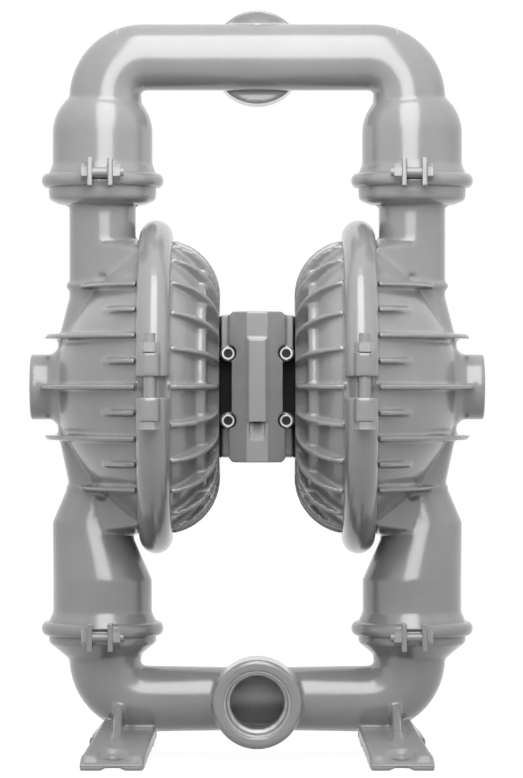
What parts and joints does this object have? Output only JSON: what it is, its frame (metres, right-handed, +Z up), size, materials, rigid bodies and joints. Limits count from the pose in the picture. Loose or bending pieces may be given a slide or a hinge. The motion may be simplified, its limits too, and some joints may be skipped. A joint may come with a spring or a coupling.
{
  "type": "air operated diaphragm pump",
  "caption": "Air operated double diaphragm pump with clamped ribbed chambers, inlet tube on feet, outlet tube above, front air valve and rear muffler.",
  "frame": {"origin": "middle of the footprint on the floor, under the centre of the overall box", "axes": "+X along the shaft to the right chamber seen from the air valve side, +Y from the air valve side to the muffler side, +Z up"},
  "size_m": [0.404, 0.3242, 0.668],
  "materials": {
    "cast_paint": "painted cast aluminium, semi-gloss grey",
    "gasket": "matte black fibre and rubber sheet",
    "diaphragm_rubber": "matte black rubber",
    "ball_rubber": "matte black rubber",
    "valve_seat": "machined",
    "seal_rubber": "matte black rubber",
    "bronze": "machined bronze",
    "piston_aluminium": "machined",
    "machined_aluminium": "machined",
    "shaft_steel": "ground and chromed",
    "plated_steel": "zinc plated",
    "painted_steel": "painted over with the pump's grey",
    "muffler_plastic": "moulded black"
  },
  "bodies": {
    "pump": {"air_chamber_screws": "plated_steel", "air_valve_body": "cast_paint", "air_valve_cap": "machined_aluminium", "air_valve_cap_ring": "plated_steel", "air_valve_gasket": "gasket", "air_valve_screws": "plated_steel", "band_bolts": "plated_steel", "band_nuts": "plated_steel", "centre_block": "cast_paint", "clamp_bolts": "painted_steel", "clamp_nuts": "painted_steel", "discharge_manifold": "cast_paint", "exhaust_nipple": "plated_steel", "inlet_manifold": "cast_paint", "left_air_chamber": "cast_paint", "left_block_gasket": "gasket", "left_clamp_lower_half": "cast_paint", "left_clamp_upper_half": "cast_paint", "left_diaphragm": "diaphragm_rubber", "left_inlet_band_inner_half": "cast_paint", "left_inlet_band_outer_half": "cast_paint", "left_inlet_seat": "valve_seat", "left_liquid_chamber": "cast_paint", "left_outlet_band_inner_half": "cast_paint", "left_outlet_band_outer_half": "cast_paint", "left_outlet_seat": "valve_seat", "muffler": "muffler_plastic", "right_air_chamber": "cast_paint", "right_block_gasket": "gasket", "right_clamp_lower_half": "cast_paint", "right_clamp_upper_half": "cast_paint", "right_diaphragm": "diaphragm_rubber", "right_inlet_band_inner_half": "cast_paint", "right_inlet_band_outer_half": "cast_paint", "right_inlet_seat": "valve_seat", "right_liquid_chamber": "cast_paint", "right_outlet_band_inner_half": "cast_paint", "right_outlet_band_outer_half": "cast_paint", "right_outlet_seat": "valve_seat", "seat_o_rings": "seal_rubber", "shaft_bushings": "bronze", "shaft_seals": "seal_rubber"},
    "shaft_assembly": {"shaft": "shaft_steel", "left_inner_piston": "piston_aluminium", "right_inner_piston": "piston_aluminium", "left_outer_piston": "piston_aluminium", "right_outer_piston": "piston_aluminium"},
    "left_inlet_ball": {"left_inlet_ball": "ball_rubber"},
    "right_inlet_ball": {"right_inlet_ball": "ball_rubber"},
    "left_outlet_ball": {"left_outlet_ball": "ball_rubber"},
    "right_outlet_ball": {"right_outlet_ball": "ball_rubber"},
    "valve_spool": {"air_valve_piston": "machined_aluminium"}
  },
  "joints": [
    {"name": "shaft_stroke", "type": "slide", "parent": "pump", "child": "shaft_assembly", "axis": [1, 0, 0], "range_m": [-0.016, 0.016], "deforming": ["left_diaphragm", "right_diaphragm"]},
    {"name": "left_inlet_ball_lift", "type": "slide", "parent": "pump", "child": "left_inlet_ball", "axis": [0, 0, 1], "range_m": [0, 0.014]},
    {"name": "left_outlet_ball_lift", "type": "slide", "parent": "pump", "child": "left_outlet_ball", "axis": [0, 0, 1], "range_m": [0, 0.014]},
    {"name": "right_inlet_ball_lift", "type": "slide", "parent": "pump", "child": "right_inlet_ball", "axis": [0, 0, 1], "range_m": [0, 0.014]},
    {"name": "right_outlet_ball_lift", "type": "slide", "parent": "pump", "child": "right_outlet_ball", "axis": [0, 0, 1], "range_m": [0, 0.014]},
    {"name": "valve_spool_shift", "type": "slide", "parent": "pump", "child": "valve_spool", "axis": [0, 0, 1], "range_m": [0, 0.014]}
  ]
}
